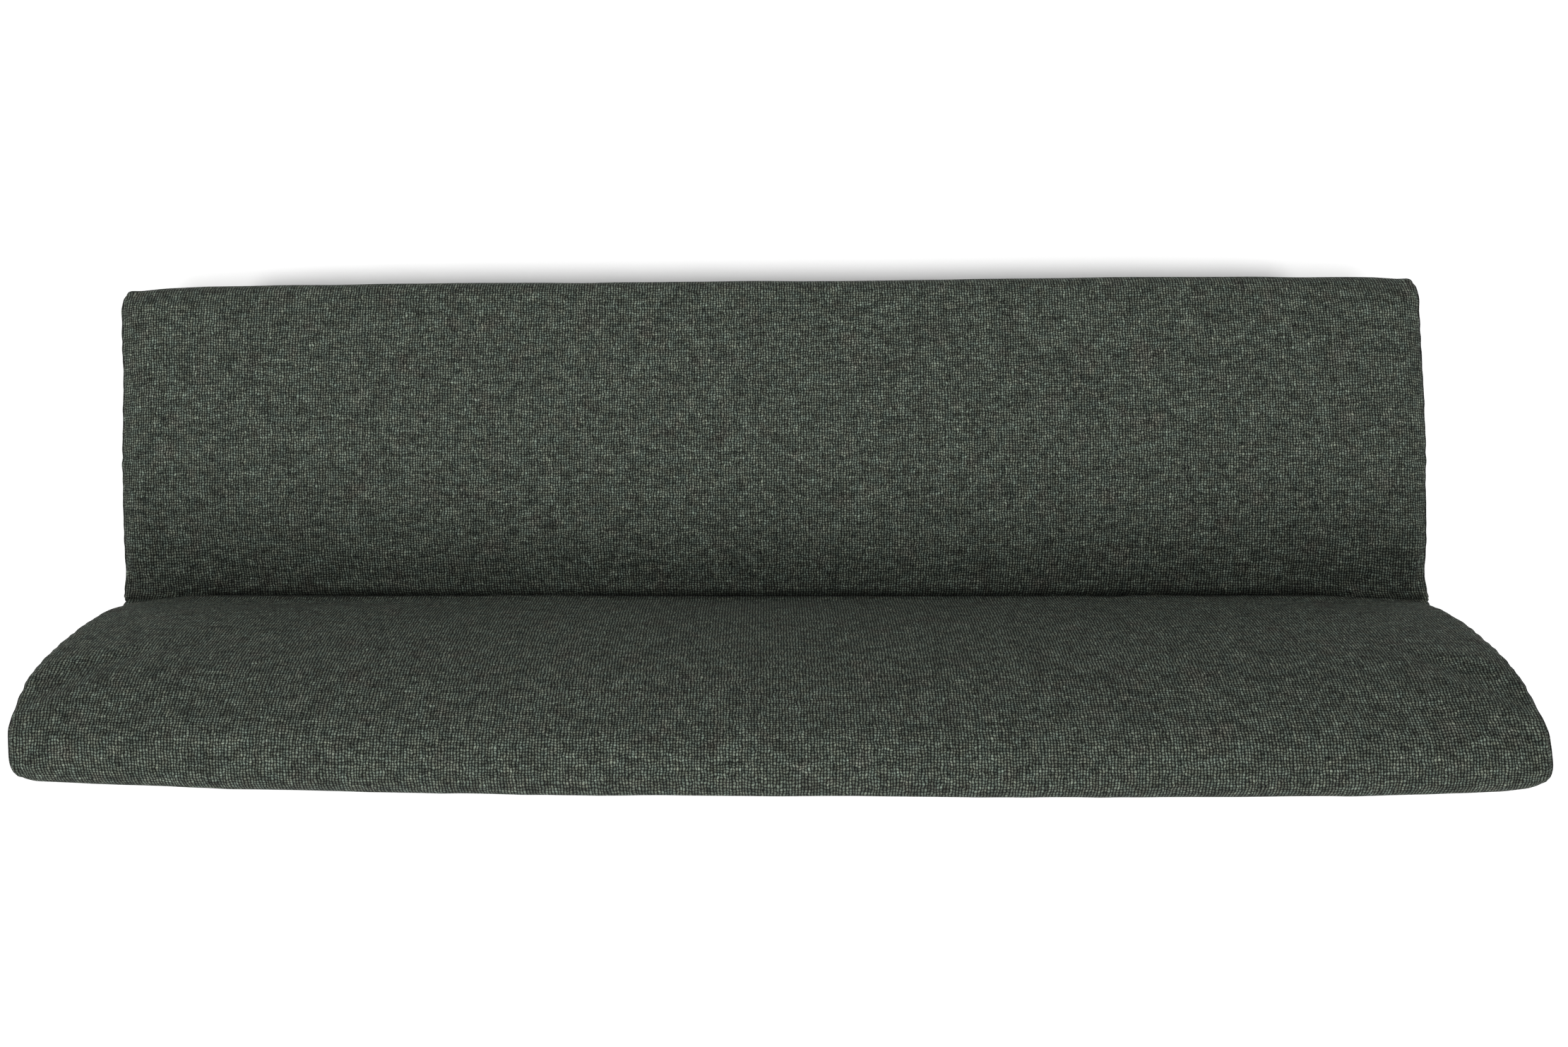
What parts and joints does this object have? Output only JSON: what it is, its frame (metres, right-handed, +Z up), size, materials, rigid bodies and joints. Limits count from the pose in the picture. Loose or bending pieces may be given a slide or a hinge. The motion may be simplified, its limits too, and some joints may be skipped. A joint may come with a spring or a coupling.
{
  "type": "dining banquette",
  "caption": "Upholstered dining banquette: crowned sprung seat and padded, leaning back with a rolled top in woven fabric, on turned legs with screw levelling feet.",
  "frame": {"origin": "on the floor under the middle of the bench's bounding box", "axes": "+X along the bench, +Y from the seat's front edge to the back, +Z up"},
  "size_m": [1.83, 0.6646, 0.846],
  "materials": {
    "upholstery": "coarse dark grey-green melange plain weave",
    "foam": "upholstery foam",
    "wadding": "polyester wadding",
    "felt": "needled felt",
    "dust_cloth": "black non-woven cloth",
    "webbing": "elastic webbing",
    "hardboard": "hardboard",
    "frame_wood": "planed hardwood",
    "leg_wood": "dark stained, satin lacquer",
    "spring_steel": "oiled spring wire",
    "zinc_steel": "bright zinc plated",
    "nylon": "black nylon"
  },
  "bodies": {
    "bench": {"seat_cover": "upholstery", "back_cover": "upholstery", "outside_back_panel": "upholstery", "seat_foam": "foam", "back_foam": "foam", "outside_back_padding": "wadding", "insulator_pad": "felt", "dust_cover": "dust_cloth", "back_webbing": "webbing", "back_board": "hardboard", "seat_springs": "spring_steel", "spring_clips": "spring_steel", "front_rail": "frame_wood", "rear_seat_rail": "frame_wood", "side_rail_left": "frame_wood", "side_rail_right": "frame_wood", "cross_rail_left": "frame_wood", "cross_rail_right": "frame_wood", "leg_blocks": "frame_wood", "back_post_left": "frame_wood", "back_post_right": "frame_wood", "back_post_mid_left": "frame_wood", "back_post_mid_right": "frame_wood", "back_top_rail": "frame_wood", "back_upper_rail": "frame_wood", "back_lower_rail": "frame_wood", "rear_base_rails": "frame_wood", "leg_plates": "zinc_steel", "leg_plate_screws": "zinc_steel", "hanger_bolts": "zinc_steel", "leg_inserts": "zinc_steel", "frame_screws": "zinc_steel", "back_bolts": "zinc_steel", "back_bolt_washers": "zinc_steel", "back_bolt_nuts": "zinc_steel", "leg_front_left": "leg_wood", "leg_front_middle": "leg_wood", "leg_front_right": "leg_wood", "leg_rear_left": "leg_wood", "leg_rear_middle": "leg_wood", "leg_rear_right": "leg_wood"},
    "foot_front_left": {"foot_pad_front_left": "nylon", "foot_stud_front_left": "zinc_steel"},
    "foot_front_middle": {"foot_pad_front_middle": "nylon", "foot_stud_front_middle": "zinc_steel"},
    "foot_front_right": {"foot_pad_front_right": "nylon", "foot_stud_front_right": "zinc_steel"},
    "foot_rear_left": {"foot_pad_rear_left": "nylon", "foot_stud_rear_left": "zinc_steel"},
    "foot_rear_middle": {"foot_pad_rear_middle": "nylon", "foot_stud_rear_middle": "zinc_steel"},
    "foot_rear_right": {"foot_pad_rear_right": "nylon", "foot_stud_rear_right": "zinc_steel"}
  },
  "joints": [
    {"name": "level_front_left", "type": "slide", "parent": "bench", "child": "foot_front_left", "axis": [0, 0, -1], "range_m": [0, 0.012]},
    {"name": "level_front_middle", "type": "slide", "parent": "bench", "child": "foot_front_middle", "axis": [0, 0, -1], "range_m": [0, 0.012]},
    {"name": "level_front_right", "type": "slide", "parent": "bench", "child": "foot_front_right", "axis": [0, 0, -1], "range_m": [0, 0.012]},
    {"name": "level_rear_left", "type": "slide", "parent": "bench", "child": "foot_rear_left", "axis": [0, 0, -1], "range_m": [0, 0.012]},
    {"name": "level_rear_middle", "type": "slide", "parent": "bench", "child": "foot_rear_middle", "axis": [0, 0, -1], "range_m": [0, 0.012]},
    {"name": "level_rear_right", "type": "slide", "parent": "bench", "child": "foot_rear_right", "axis": [0, 0, -1], "range_m": [0, 0.012]}
  ]
}
